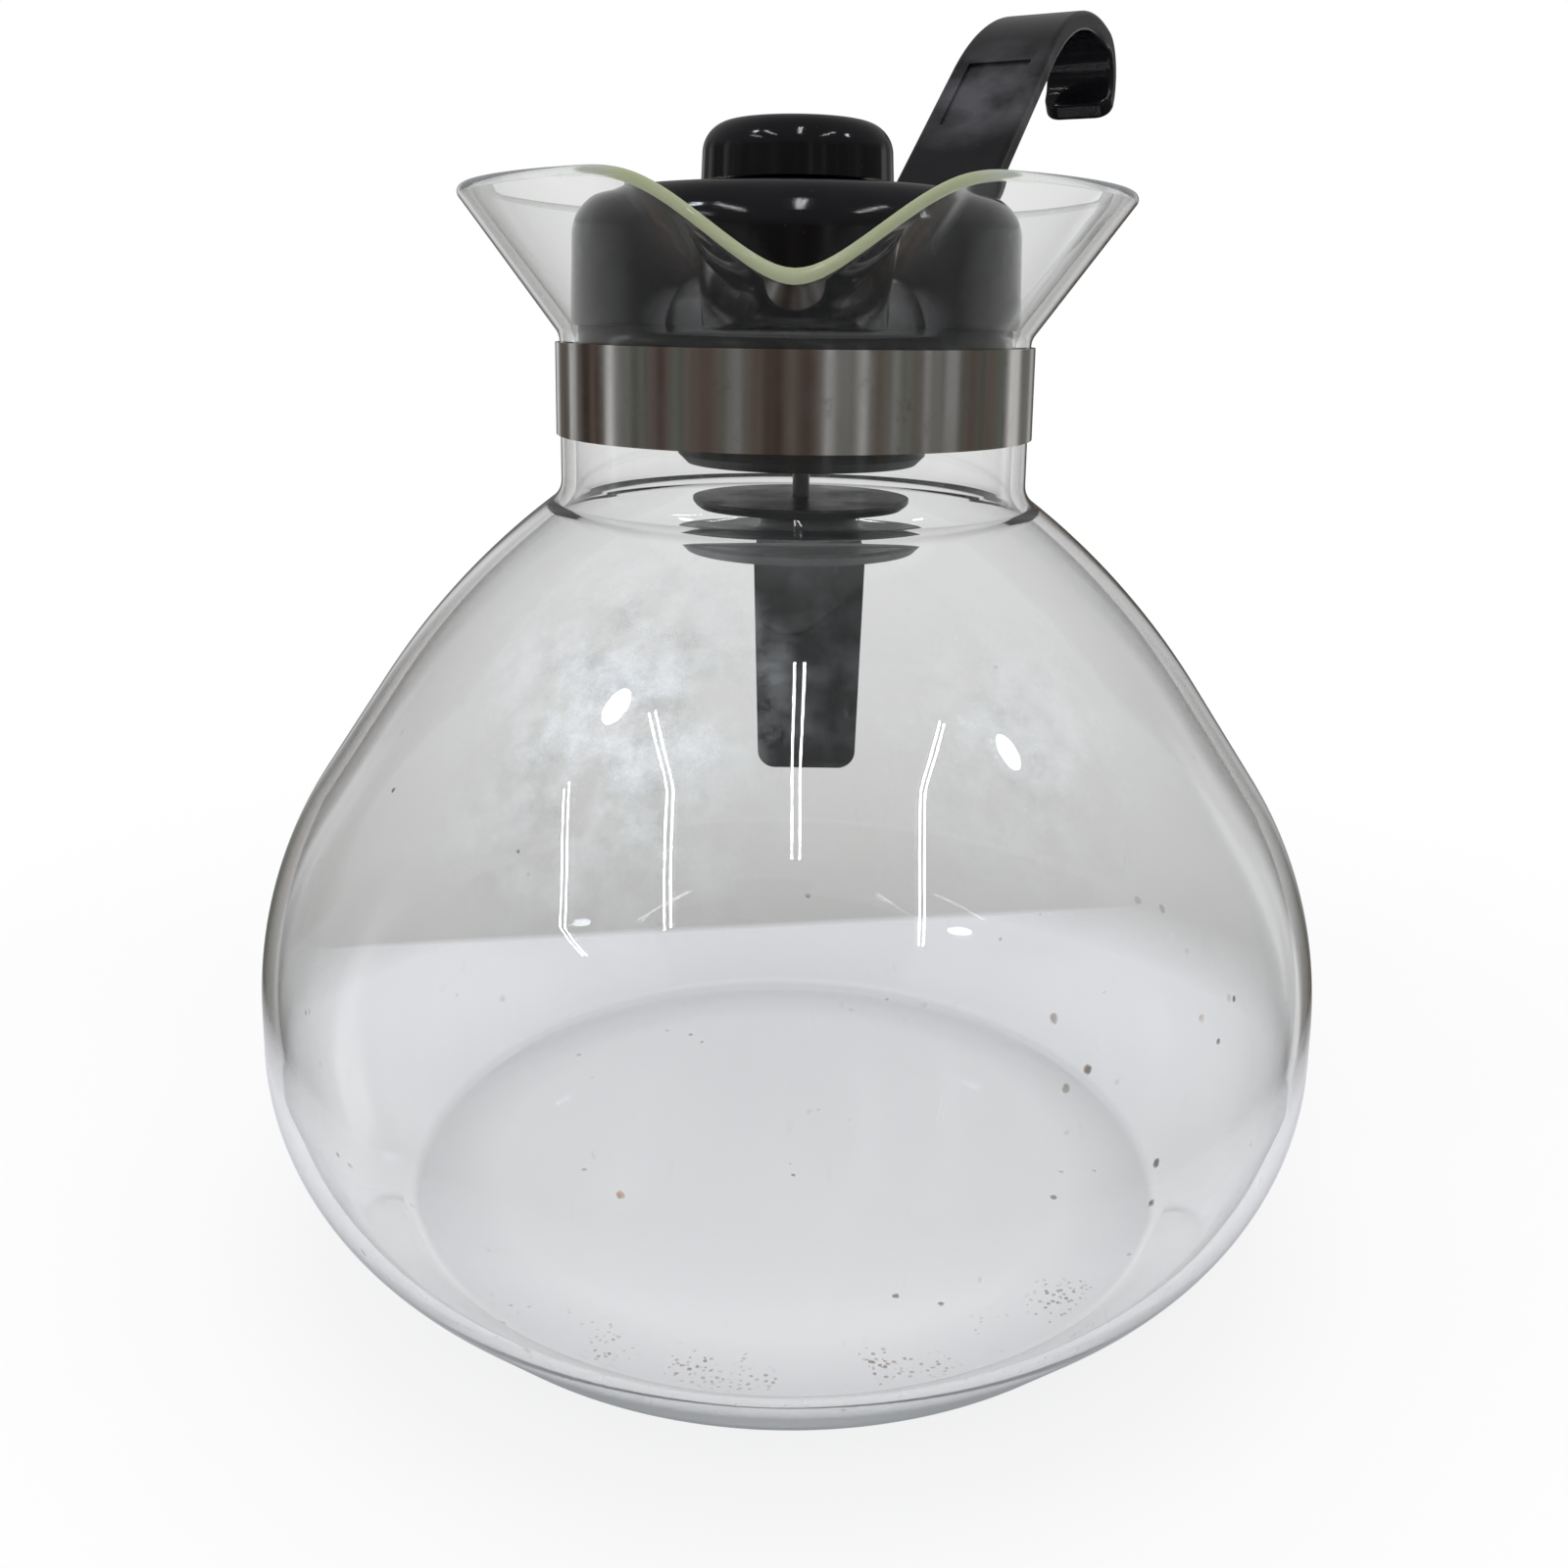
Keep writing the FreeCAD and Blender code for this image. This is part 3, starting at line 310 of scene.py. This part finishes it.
def glass_dirt(n, where):
    """Share of dirt on the glass: brown specks on the lower half, grit in an arc at the front of the base."""
    axes = n.axes(where)
    ragged = n.add("ShaderNodeTexNoise", {"Vector": where, "Scale": 900.0, "Detail": 2.0}).outputs["Color"]
    stray = {0: ragged, 1: (SPECK_STRAY, SPECK_STRAY, SPECK_STRAY), 2: where}
    ragged = n.add("ShaderNodeVectorMath", stray, operation="MULTIPLY_ADD").outputs["Vector"]
    few = n.ramp(n.noise(where, 60.0, 2.0), 0.59, 0.65)
    below = n.ramp(axes["Z"], 0.085, 0.06)
    specks = n.product(n.ramp(n.cells(ragged, 170.0), 0.12, 0.07), few, below)
    radius = axis_distance(n, where)
    grit = n.product(
        n.ramp(radius, GRIT_INNER * MM, (GRIT_INNER + GRIT_BORDER) * MM),
        n.ramp(radius, GRIT_OUTER * MM, (GRIT_OUTER - GRIT_BORDER) * MM),
        n.ramp(axes["Y"], -0.030, -0.042),
        n.ramp(axes["Z"], 0.012, 0.008),
        n.ramp(n.noise(where, 90.0, 2.0), 0.50, 0.58),
        n.ramp(n.cells(ragged, 800.0), 0.30, 0.20),
    )
    return n.maths("MAXIMUM", specks, grit)


def painted_base_shade_ring(n, where):
    """Share of a ring of painted shade in the base, sharp outside and fading inwards."""
    radius = axis_distance(n, where)
    return n.product(
        n.ramp(radius, RING_RADIUS * MM, (RING_RADIUS - RING_BORDER) * MM),
        n.ramp(radius, (RING_RADIUS - RING_WIDTH) * MM, RING_RADIUS * MM),
        n.ramp(n.axes(where)["Z"], 9.0 * MM, 6.0 * MM, 0.0, 0.55),
    )


def glass_material(name, tint, film_and_painted_light_colour, film_and_painted_light_share, lip_colour, lip_share):
    """Clear blown glass: faint waviness, cloudy patches, dirt, a painted ring of shade in the base, a pale
    film that on the rim is painted lightness, and another film at the pouring lip.
    """
    n = material_nodes(name)
    where = n.place()
    cloud = n.noise(where, 130.0, 6.0, 0.65)
    patch = n.add("ShaderNodeAttribute", attribute_name="cloudy").outputs["Fac"]
    scuff = n.maths("MULTIPLY", patch, n.ramp(cloud, 0.42, 0.74, 0.0, 0.50))
    lines = n.noise(n.stretch(where, (1.0, 1.0, 0.15)), 700.0, 2.0)
    scuff = n.maths("ADD", scuff, n.ramp(lines, 0.66, 0.80, 0.0, 0.04))
    at_lip = n.ramp(n.axes(where)["Y"], -0.042, -0.050)
    film_and_painted_light_amount = n.ramp(at_lip, 0.0, 1.0, film_and_painted_light_share, lip_share)
    ripple = n.bump(n.noise(where, 35.0, 1.0), 0.012, 0.01)
    smooth = n.ramp(cloud, 0.45, 0.85, 0.0, 0.02)
    clear = n.add("ShaderNodeBsdfPrincipled", {
        # Painted shade: the base ring turns the glass's colour grey
        "Base Color": n.mix_colour(painted_base_shade_ring(n, where), tint, colour(0.62, 0.62, 0.63)),
        "Roughness": smooth,
        "IOR": THIN_WALL_IOR,
        "Transmission Weight": 1.0,
        "Normal": ripple,
    }).outputs[0]
    sheen = n.add("ShaderNodeBsdfGlossy", {"Roughness": smooth, "Normal": ripple}).outputs[0]
    mirror = n.add("ShaderNodeFresnel", {"IOR": GLASS_IOR, "Normal": ripple}).outputs[0]
    outward = n.maths("SUBTRACT", 1.0, n.add("ShaderNodeNewGeometry").outputs["Backfacing"])
    clear = n.mix_shader(n.product(mirror, TWO_FACES, outward), clear, sheen)
    # The film is partly real haze, scuffs and the lip's green, and partly painted lightness over the rim
    film_and_painted_light_tone = n.mix_colour(at_lip, film_and_painted_light_colour, lip_colour)
    film = n.add("ShaderNodeBsdfDiffuse", {"Color": film_and_painted_light_tone}).outputs[0]
    stain = n.add("ShaderNodeBsdfDiffuse", {"Color": colour(0.38, 0.20, 0.08)}).outputs[0]
    body = n.mix_shader(n.maths("ADD", scuff, film_and_painted_light_amount), clear, film)
    body = n.mix_shader(n.maths("MULTIPLY", glass_dirt(n, where), 0.75), body, stain)
    passing = n.add("ShaderNodeBsdfTransparent", {"Color": colour(0.93, 0.94, 0.94)}).outputs[0]
    return n.finish(n.mix_shader(n.light_path()["Is Shadow Ray"], body, passing))


def gloss_black(name, wear_and_sheen_place, wear_and_sheen_reach):
    """Moulded black plastic: deep gloss with fine scratches, dust and one patch dulled by use, its colour
    lifted by a painted sheen.
    """
    n = material_nodes(name)
    where = n.place()
    patch = n.noise(where, 45.0, 5.0, 0.6)
    dust = n.ramp(n.noise(where, 900.0, 2.0), 0.72, 0.84, 0.0, 0.22)
    scratch = n.noise(n.stretch(where, (1.0, 1.0, 14.0)), 160.0, 3.0, 0.7)
    worn_and_sheen = n.ramp(n.distance(where, wear_and_sheen_place), wear_and_sheen_reach, wear_and_sheen_reach * 0.35)
    worn_and_sheen = n.maths("MULTIPLY", worn_and_sheen, n.ramp(n.noise(where, 90.0, 3.0, 0.5), 0.30, 0.75))
    uneven = n.ramp(patch, 0.35, 0.75)
    shade = n.mix_colour(uneven, colour(0.004, 0.004, 0.005), colour(0.010, 0.010, 0.012))
    shade = n.mix_colour(dust, shade, colour(0.14, 0.14, 0.15))
    # Painted sheen: the thumb patch's colour is lifted towards grey, on top of its rougher wear
    shade = n.mix_colour(n.maths("MULTIPLY", worn_and_sheen, 0.45), shade, colour(0.18, 0.18, 0.20))
    gloss = n.maths("ADD", n.ramp(patch, 0.3, 0.8, 0.05, 0.14), n.maths("MULTIPLY", worn_and_sheen, 0.3))
    return n.finish(n.add("ShaderNodeBsdfPrincipled", {
        "Base Color": shade,
        "Roughness": gloss,
        "IOR": 1.45,
        "Specular IOR Level": 0.38,
        "Normal": n.bump(scratch, 0.04, 0.0004),
    }).outputs[0])


def dull_black(name):
    """Steamed black plastic with pale mineral stains."""
    n = material_nodes(name)
    where = n.place()
    patch = n.noise(where, 90.0, 6.0, 0.65)
    drips = n.noise(n.stretch(where, (1.0, 1.0, 0.3)), 190.0, 4.0, 0.6)
    upper = n.ramp(n.axes(where)["Z"], 0.080, 0.108, 0.35, 1.0)
    stain = n.product(n.ramp(patch, 0.46, 0.72), n.ramp(drips, 0.35, 0.7), upper, 0.35)
    shade = n.mix_colour(stain, colour(0.008, 0.009, 0.010), colour(0.20, 0.24, 0.25))
    return n.finish(n.add("ShaderNodeBsdfPrincipled", {
        "Base Color": shade,
        "Roughness": n.ramp(patch, 0.3, 0.8, 0.30, 0.6),
        "Normal": n.bump(patch, 0.05, 0.0005),
    }).outputs[0])


def polished_steel(name):
    """Polished steel strip with faint upright wear and small smudges."""
    n = material_nodes(name)
    where = n.place()
    grain = n.noise(n.stretch(where, (1.0, 1.0, 40.0)), 220.0, 3.0)
    streak = n.noise(n.stretch(where, (1.0, 1.0, 0.03)), 150.0, 3.0, 0.6)
    smudge = n.noise(where, 160.0, 5.0, 0.7)
    shade = n.mix_colour(n.ramp(streak, 0.35, 0.7), colour(0.50, 0.48, 0.46), colour(0.68, 0.67, 0.66))
    shade = n.mix_colour(n.ramp(smudge, 0.60, 0.76, 0.0, 0.5), shade, colour(0.30, 0.26, 0.22))
    return n.finish(n.add("ShaderNodeBsdfPrincipled", {
        "Base Color": shade,
        "Metallic": 1.0,
        "Roughness": n.ramp(smudge, 0.3, 0.7, 0.07, 0.16),
        "Normal": n.bump(grain, 0.02, 0.0002),
    }).outputs[0])


def plain_metal(name, base, roughness):
    """Small plain metal parts, slightly dulled."""
    n = material_nodes(name)
    patch = n.noise(n.place(), 400.0, 4.0)
    dark = colour(base[0] * 0.7, base[1] * 0.7, base[2] * 0.7)
    return n.finish(n.add("ShaderNodeBsdfPrincipled", {
        "Base Color": n.mix_colour(n.ramp(patch, 0.35, 0.7), dark, base),
        "Metallic": 1.0,
        "Roughness": n.ramp(patch, 0.3, 0.7, roughness, roughness + 0.15),
    }).outputs[0])


# Glass body, in one smooth mesh through the same profile as the solid
# Pale film: a faint haze on the clear glass; the rim's larger share of it is painted lightness standing in
# for reflections on the rim's sides
PALE_FILM_AND_PAINTED_LIGHT = colour(0.90, 0.94, 0.98)
LIP_GREEN = colour(0.50, 0.54, 0.34)
clear_glass = glass_material("clear_glass", colour(0.985, 0.992, 0.99), PALE_FILM_AND_PAINTED_LIGHT, 0.004, PALE_FILM_AND_PAINTED_LIGHT, 0.004)
rim_glass = glass_material("rim_glass", colour(0.95, 0.97, 0.90), PALE_FILM_AND_PAINTED_LIGHT, 0.20, LIP_GREEN, 0.60)
outer = bulb_wall(0.0)
inner = bulb_wall(WALL)
profiles = []
for segment in range(GLASS_SEGMENTS):
    turn = 2 * math.pi * segment / GLASS_SEGMENTS
    if turn > math.pi:
        turn -= 2 * math.pi
    profiles.append(outer + flare_wall(spout_lean(turn)) + inner[::-1])
glass = closed_lathe("glass", profiles, clear_glass)
glass.data.materials.append(rim_glass)
rim_start = len(outer) + BEND_STEPS + WALL_STEPS
for polygon in glass.data.polygons:
    step = polygon.index % (len(profiles[0]) - 1)
    if rim_start <= step < rim_start + RIM_STEPS:
        polygon.material_index = 1
cloudy = glass.data.attributes.new("cloudy", "FLOAT", "POINT")
for vertex in glass.data.vertices:
    amount = 0.0
    for place, reach, strength in CLOUDS:
        away = (vertex.co - Vector(place)).length / reach
        amount += strength * math.exp(-away * away)
    cloudy.data[vertex.index].value = amount
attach(glass, "kettle")
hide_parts("glass_body")

# The other solids keep their shapes and take their finishes here
# Thumb patch on the handle: real wear that roughens it, with a painted sheen that lightens its colour
THUMB_PLACE = (0.0395, 0.0810, 0.1990)
THUMB_REACH = 0.022
black = gloss_black("black_plastic", THUMB_PLACE, THUMB_REACH)
stained = dull_black("stem_plastic")
steel = polished_steel("polished_steel")
screw_metal = plain_metal("screw_steel", colour(0.55, 0.55, 0.55), 0.3)
whistle_metal = plain_metal("whistle_metal", colour(0.78, 0.78, 0.79), 0.3)
pin_metal = plain_metal("pin_metal", colour(0.16, 0.16, 0.16), 0.35)
finishes = {
    "handle": black, "lid_cap": black, "lid_knob": black, "lid_base": stained, "baffle_stem": stained,
    "neck_band": steel, "clamp_screw": screw_metal, "clamp_nut": screw_metal, "knob_screw": screw_metal,
    "whistle_plate": whistle_metal, "whistle_cup": whistle_metal, "baffle_pin": pin_metal,
}
for node, material in finishes.items():
    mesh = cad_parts[node].data
    mesh.materials.clear()
    mesh.materials.append(material)

# Camera: stands close in front, slightly above the lid, looking a little down
CAMERA_PLACE = (0.0006, -0.2415, 0.1512)
camera = bpy.data.cameras.new("camera")
camera.sensor_width = 36.0
camera.lens = 33.27
camera.shift_y = -0.125
camera.clip_start = 0.01
view = bpy.data.objects.new("camera", camera)
scene.collection.objects.link(view)
scene.camera = view
pitch = math.radians(10.6)
yaw = math.radians(0.45)
roll = math.radians(0.76)
ahead = Vector((-math.sin(yaw), math.cos(yaw), 0.0))
level_right = Vector((math.cos(yaw), math.sin(yaw), 0.0))
forward = ahead * math.cos(pitch) - Vector((0, 0, math.sin(pitch)))
level_up = ahead * math.sin(pitch) + Vector((0, 0, math.cos(pitch)))
right = level_right * math.cos(roll) + level_up * math.sin(roll)
up = level_up * math.cos(roll) - level_right * math.sin(roll)
turned = Matrix((right, up, -forward)).transposed().to_4x4()
view.matrix_world = Matrix.Translation(Vector(CAMERA_PLACE)) @ turned

scene.view_settings.view_transform = "Standard"
scene.cycles.caustics_reflective = False
scene.cycles.caustics_refractive = False

# Stage: the table's height, its far edge behind the kettle, the slant of that edge, and its reach in mirrors
TABLE_LEVEL = -0.0004
TABLE_EDGE = 0.102
TABLE_SLANT = 0.16
TABLE_REACH = 0.12


def studio_world():
    """White to the camera, a grey room through glass, a dim room with upright bands in reflections."""
    scene.world = bpy.data.worlds.new("studio")
    n = Nodes(scene.world, "ShaderNodeOutputWorld")
    path = n.light_path()
    heading = n.add("ShaderNodeTexCoord").outputs["Generated"]
    height = n.axes(heading)["Z"]
    bands = n.noise(n.stretch(heading, (1.0, 1.0, 0.04)), 2.6, 2.0, 0.55)
    shelves = n.colours(bands, [
        (0.30, colour(0.012, 0.012, 0.012)), (0.40, colour(0.09, 0.065, 0.055)),
        (0.46, colour(0.15, 0.125, 0.11)), (0.50, colour(0.10, 0.11, 0.09)),
        (0.55, colour(0.20, 0.195, 0.19)), (0.60, colour(0.36, 0.36, 0.36)),
        (0.66, colour(0.85, 0.85, 0.85)),
    ])
    level = n.maths("MULTIPLY", n.ramp(height, -0.7, -0.4), n.ramp(height, 0.35, 0.10))
    beyond = n.mix_colour(n.ramp(height, -0.2, 0.35), colour(0.04, 0.04, 0.045), colour(0.24, 0.24, 0.24))
    seen = n.mix_colour(level, beyond, shelves)
    through = n.colours(n.ramp(height, -0.5, 0.5), [
        (0.08, colour(0.47, 0.465, 0.46)), (0.16, colour(0.60, 0.595, 0.59)),
        (0.26, colour(0.71, 0.705, 0.70)), (0.40, colour(0.82, 0.82, 0.815)),
        (0.75, colour(0.92, 0.92, 0.92)),
    ])
    behind = n.ramp(n.axes(heading)["Y"], -0.10, 0.15, 0.3, 1.0)
    through = n.mix_colour(behind, seen, through)
    room = n.mix_colour(path["Is Glossy Ray"], colour(0.55, 0.55, 0.55), seen)
    inside = n.ramp(path["Transmission Depth"], 0.0, 1.0)
    room = n.mix_colour(inside, room, n.mix_colour(0.3, through, colour(0, 0, 0)))
    room = n.mix_colour(path["Is Transmission Ray"], room, through)
    shown = n.mix_colour(path["Is Camera Ray"], room, colour(1, 1, 1))
    n.finish(n.add("ShaderNodeBackground", {"Color": shown, "Strength": 1.0}).outputs[0])


def table_floor():
    """White to the camera with a soft shadow; a pale table with edges in glass and in reflections, and a
    painted shadow darkening its front where glass shows it.
    """
    mesh = bpy.data.meshes.new("floor")
    corners = [(-4, -4, TABLE_LEVEL), (4, -4, TABLE_LEVEL), (4, 8, TABLE_LEVEL), (-4, 8, TABLE_LEVEL)]
    mesh.from_pydata(corners, [], [(0, 1, 2, 3)])
    n = material_nodes("table")
    where = n.place()
    axes = n.axes(where)
    away = n.distance(where, (0.0, 0.0, 0.0))
    path = n.light_path()
    mottle = n.noise(where, 14.0, 3.0)
    near = n.mix_colour(mottle, colour(0.90, 0.90, 0.925), colour(0.96, 0.96, 0.98))
    far = n.mix_colour(mottle, colour(0.77, 0.77, 0.805), colour(0.83, 0.83, 0.865))
    tone = n.mix_colour(n.ramp(axes["Y"], -0.10, 0.09), near, far)
    edge = n.maths("SUBTRACT", axes["Y"], n.maths("MULTIPLY", axes["X"], TABLE_SLANT))
    past = n.ramp(edge, TABLE_EDGE, TABLE_EDGE + 0.004)
    lit = n.add("ShaderNodeBsdfDiffuse", {"Color": tone}).outputs[0]
    # Painted shadow: the table in front of the kettle turns dark grey where rays through the glass see it
    inside = n.mix_colour(n.ramp(axes["Y"], -0.15, -0.09), colour(0.22, 0.22, 0.23), tone)
    shown = n.mix_colour(path["Is Camera Ray"], inside, colour(1, 1, 1))
    glow = n.add("ShaderNodeEmission", {"Color": shown, "Strength": 1.0}).outputs[0]
    share = n.maths("MULTIPLY", path["Is Camera Ray"], n.ramp(away, 0.11, 0.28, 0.80, 1.0))
    share = n.maths("MAXIMUM", share, n.maths("MULTIPLY", path["Is Transmission Ray"], 0.75))
    top = n.mix_shader(share, lit, glow)
    gone = n.maths("MULTIPLY", path["Is Transmission Ray"], past)
    unmirrored = n.maths("MAXIMUM", n.ramp(away, TABLE_REACH, TABLE_REACH * 1.3), past)
    gone = n.maths("MAXIMUM", gone, n.maths("MULTIPLY", path["Is Glossy Ray"], unmirrored))
    clear = n.add("ShaderNodeBsdfTransparent").outputs[0]
    new_object("floor", mesh, n.finish(n.mix_shader(gone, top, clear)))


def lamp(name, place, aim, width, depth, power, tone=(1.0, 1.0, 1.0)):
    """A rectangular lamp at a place, facing a point."""
    light = bpy.data.lights.new(name, "AREA")
    light.shape = "RECTANGLE"
    light.size = width
    light.size_y = depth
    light.energy = power
    light.color = tone
    holder = bpy.data.objects.new(name, light)
    scene.collection.objects.link(holder)
    holder.location = place
    direction = Vector(aim) - Vector(place)
    holder.rotation_euler = direction.to_track_quat("-Z", "Y").to_euler()
    return holder


# Lamps: a soft one overhead that mirrors don't see, pairs of ceiling tubes, and two small cool windows
CEILING = 1.25
TUBES = (
    (-1.45, -1.05), (-1.41, -1.05), (-0.74, -0.92), (-0.70, -0.92),
    (0.02, -0.83), (0.065, -0.83), (0.80, -0.92), (0.83, -0.92),
)
TUBE_WIDTH = 0.013
TUBE_LENGTH = 0.76
COOL_WHITE = (0.85, 0.92, 1.0)
studio_world()
table_floor()
soft = lamp("soft_top", (0.0, 0.3, 1.5), (0, 0, 0.1), 1.6, 1.6, 9.0)
soft.visible_glossy = False
soft.visible_transmission = False
for index, (x, y) in enumerate(TUBES):
    lamp(f"tube_{index}", (x, y, CEILING), (x, y, 0.0), TUBE_WIDTH, TUBE_LENGTH, 1.4)
for name, x, y in (("window_left", -0.93, -0.43), ("window_right", 1.33, -0.47)):
    window = lamp(name, (x, y, CEILING), (0, -0.1, 0.1), 0.13, 0.18, 1.8, COOL_WHITE)
    window.data.shape = "ELLIPSE"
